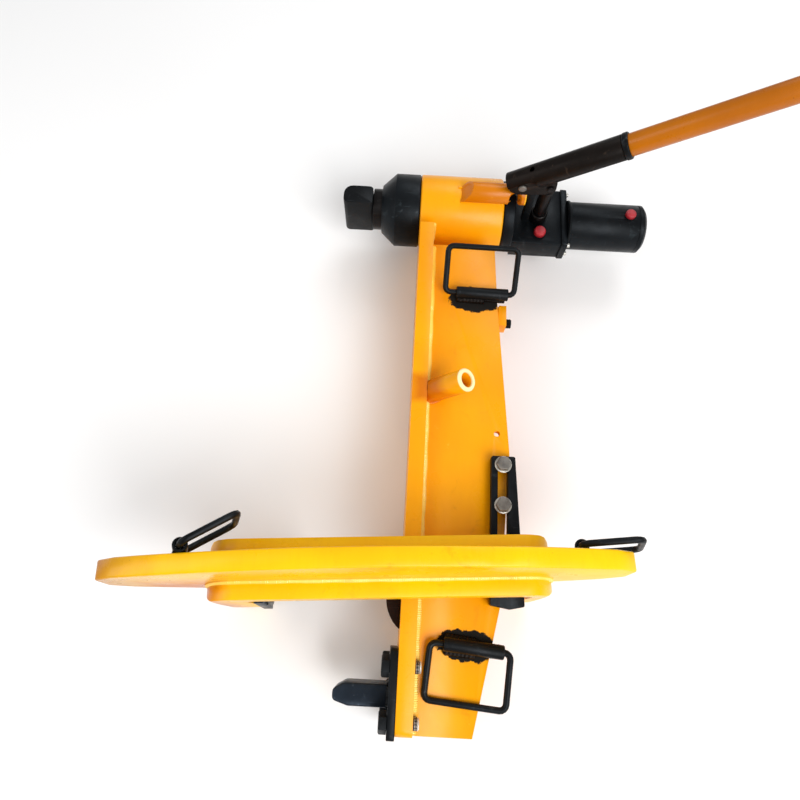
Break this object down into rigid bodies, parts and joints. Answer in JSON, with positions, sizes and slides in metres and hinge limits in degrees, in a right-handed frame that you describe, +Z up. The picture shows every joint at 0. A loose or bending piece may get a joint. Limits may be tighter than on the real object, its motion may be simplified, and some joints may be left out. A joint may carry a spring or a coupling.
{
  "type": "hydraulic rail bender",
  "caption": "Hand-pumped hydraulic rail bender: box beam with bolted anvil and ram, sliding saddle yoke, slotted wedge, hinged carrying loops and a long pump lever.",
  "frame": {"origin": "underside of the beam's bottom web plate, on the floor plane, near the middle of the beam", "axes": "+Z up, +Y along the beam from the anvil end to the ram end, -X the way the ram pushes; +X towards the oil tank and lever"},
  "size_m": [1.0557, 0.8403, 0.5691],
  "materials": {
    "yellow_paint": "glossy yellow-orange enamel on steel",
    "black_oxide": "satin black oxide steel",
    "zinc_steel": "bright zinc-plated steel",
    "brown_oxide": "dark brown oxide steel",
    "red_plastic": "red plastic",
    "seal_rubber": "black nitrile seal"
  },
  "bodies": {
    "beam": {"flange_plate": "yellow_paint", "top_web_plate": "yellow_paint", "bottom_web_plate": "yellow_paint", "web_rib_1": "yellow_paint", "web_rib_2": "yellow_paint", "barrel_saddle": "yellow_paint", "cylinder_barrel": "yellow_paint", "gland_collar": "black_oxide", "return_spring": "zinc_steel", "rear_ring": "black_oxide", "pump_block": "black_oxide", "tank_flange": "black_oxide", "oil_tank": "black_oxide", "tank_cap": "black_oxide", "filler_plug": "red_plastic", "port_plug": "red_plastic", "plunger_gland": "zinc_steel", "barrel_arm": "yellow_paint", "anvil_plate": "black_oxide", "anvil_nose": "black_oxide", "anvil_bolt_1": "zinc_steel", "anvil_bolt_2": "zinc_steel", "anvil_bolt_3": "zinc_steel", "anvil_bolt_4": "zinc_steel", "guide_pad": "brown_oxide", "wedge_washer_1": "zinc_steel", "wedge_washer_2": "zinc_steel", "wedge_bolt_1": "zinc_steel", "wedge_bolt_2": "zinc_steel", "edge_lug": "yellow_paint", "edge_lug_screw": "black_oxide", "carry_bar_socket": "yellow_paint", "near_carry_sleeve": "black_oxide", "far_carry_sleeve": "black_oxide"},
    "ram": {"ram_rod": "black_oxide", "piston": "black_oxide", "piston_seal": "seal_rubber", "ram_head": "black_oxide"},
    "lever": {"lever_socket": "black_oxide", "lever_cheek_near": "black_oxide", "lever_cheek_far": "black_oxide", "fulcrum_pin": "zinc_steel", "plunger_pin": "zinc_steel", "socket_collar": "black_oxide", "handle_pipe": "yellow_paint"},
    "plunger": {"pump_plunger": "zinc_steel"},
    "valve": {"release_knob": "black_oxide"},
    "wedge": {"slotted_wedge": "black_oxide"},
    "near_handle": {"near_carry_loop": "black_oxide"},
    "far_handle": {"far_carry_loop": "black_oxide"},
    "yoke": {"yoke_centre_plate": "yellow_paint", "yoke_near_cheek": "yellow_paint", "yoke_far_cheek": "yellow_paint", "yoke_jaw": "black_oxide", "yoke_jaw_screw_1": "zinc_steel", "yoke_jaw_screw_2": "zinc_steel", "yoke_left_sleeve": "black_oxide", "yoke_right_sleeve": "black_oxide"},
    "yoke_left_handle": {"yoke_left_loop": "black_oxide"},
    "yoke_right_handle": {"yoke_right_loop": "black_oxide"}
  },
  "joints": [
    {"name": "ram_slide", "type": "slide", "parent": "beam", "child": "ram", "axis": [-1, 0, 0], "range_m": [0, 0.05], "stiffness_N_per_m": 4000, "deforming": ["return_spring"]},
    {"name": "lever_hinge", "type": "hinge", "parent": "beam", "child": "lever", "pos_m": [0.077, 0.3865, 0.188], "axis": [0, -1, 0], "range_deg": [-20, 20]},
    {"name": "plunger_slide", "type": "slide", "parent": "beam", "child": "plunger", "axis": [0, 0, 1], "range_m": [-0.0142, 0.0142]},
    {"name": "release_turn", "type": "hinge", "parent": "beam", "child": "valve", "pos_m": [0.115, 0.45, 0.072], "axis": [0, 1, 0], "range_deg": [0, 270]},
    {"name": "wedge_slide", "type": "slide", "parent": "beam", "child": "wedge", "axis": [0, 1, 0], "range_m": [0, 0.03]},
    {"name": "near_handle_hinge", "type": "hinge", "parent": "beam", "child": "near_handle", "pos_m": [0.019, -0.269, 0.1391], "axis": [-0.9962, 0.0872, 0], "range_deg": [0, 120]},
    {"name": "far_handle_hinge", "type": "hinge", "parent": "beam", "child": "far_handle", "pos_m": [0.022, 0.222, 0.1391], "axis": [1, -0.0087, 0], "range_deg": [-40, 136]},
    {"name": "yoke_slide", "type": "slide", "parent": "beam", "child": "yoke", "axis": [0, 1, 0], "range_m": [-0.12, 0.17]},
    {"name": "yoke_left_hinge", "type": "hinge", "parent": "yoke", "child": "yoke_left_handle", "pos_m": [-0.32773, -0.17655, 0.24043], "axis": [0.2541, 0.0769, 0.9641], "range_deg": [0, 145]},
    {"name": "yoke_right_hinge", "type": "hinge", "parent": "yoke", "child": "yoke_right_handle", "pos_m": [0.14783, -0.14635, 0.19052], "axis": [-0.2623, 0.0408, 0.9641], "range_deg": [0, 140]}
  ],
  "couplings": [
    {"joint": "plunger_slide", "follows": "lever_hinge", "m_per_rad": 0.0401}
  ]
}
